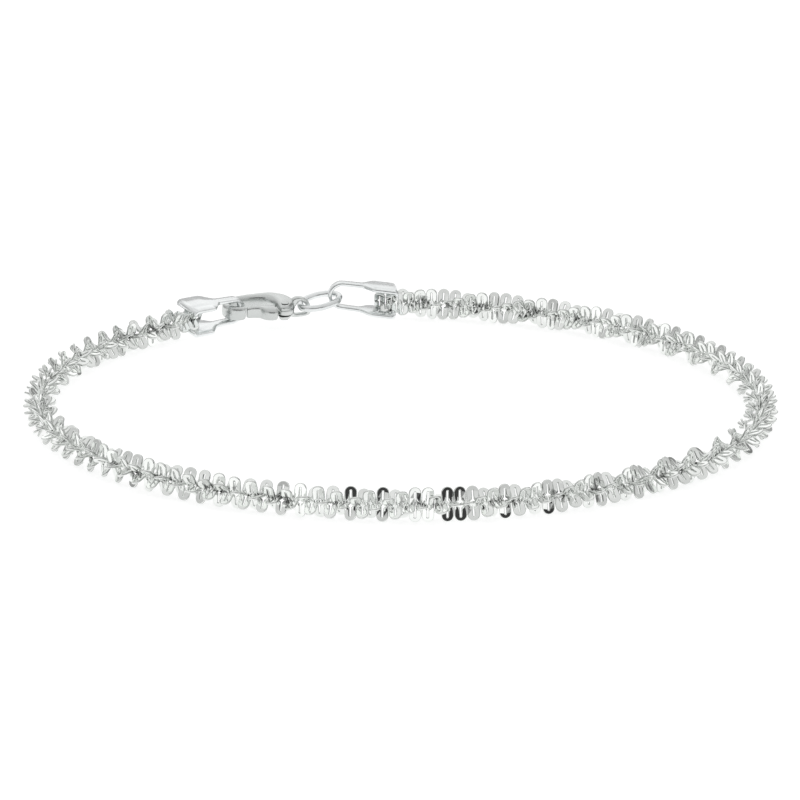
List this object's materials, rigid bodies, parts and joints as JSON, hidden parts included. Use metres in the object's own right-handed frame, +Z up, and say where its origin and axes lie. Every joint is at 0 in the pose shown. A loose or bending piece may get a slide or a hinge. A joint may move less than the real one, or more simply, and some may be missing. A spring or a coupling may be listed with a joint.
{
  "type": "bracelet",
  "caption": "Slim sparkle-chain bracelet of flat oval links, closed in a ring with a lobster clasp, a jump ring and two folded end clips.",
  "frame": {"origin": "middle of the whole bracelet's box, on the surface it lies on", "axes": "+Z up, along the hole for the wrist; +Y from the middle of the chain's long run towards the clasp's side; +X to the right with the clasp at the back"},
  "size_m": [0.0618, 0.0616, 0.0035],
  "materials": {
    "chain_silver": "bright polished silver, pressed flat link by link",
    "clip_silver": "polished silver strip and wire",
    "clasp_silver": "polished cast silver, tumbled soft at the edges"
  },
  "bodies": {
    "root": {"chain": "chain_silver", "end_clip_left": "clip_silver", "end_clip_right": "clip_silver", "jump_ring": "clip_silver", "clasp_body": "clasp_silver", "clasp_rivet": "clasp_silver"},
    "lever": {"clasp_lever": "clasp_silver"}
  },
  "joints": [
    {"name": "lever_hinge", "type": "hinge", "parent": "root", "child": "lever", "pos_m": [-0.00996, 0.02631, 0.00162], "axis": [-0.0348, 0.1348, -0.9903], "range_deg": [0, 18], "stiffness_Nm_per_rad": 0.002}
  ]
}
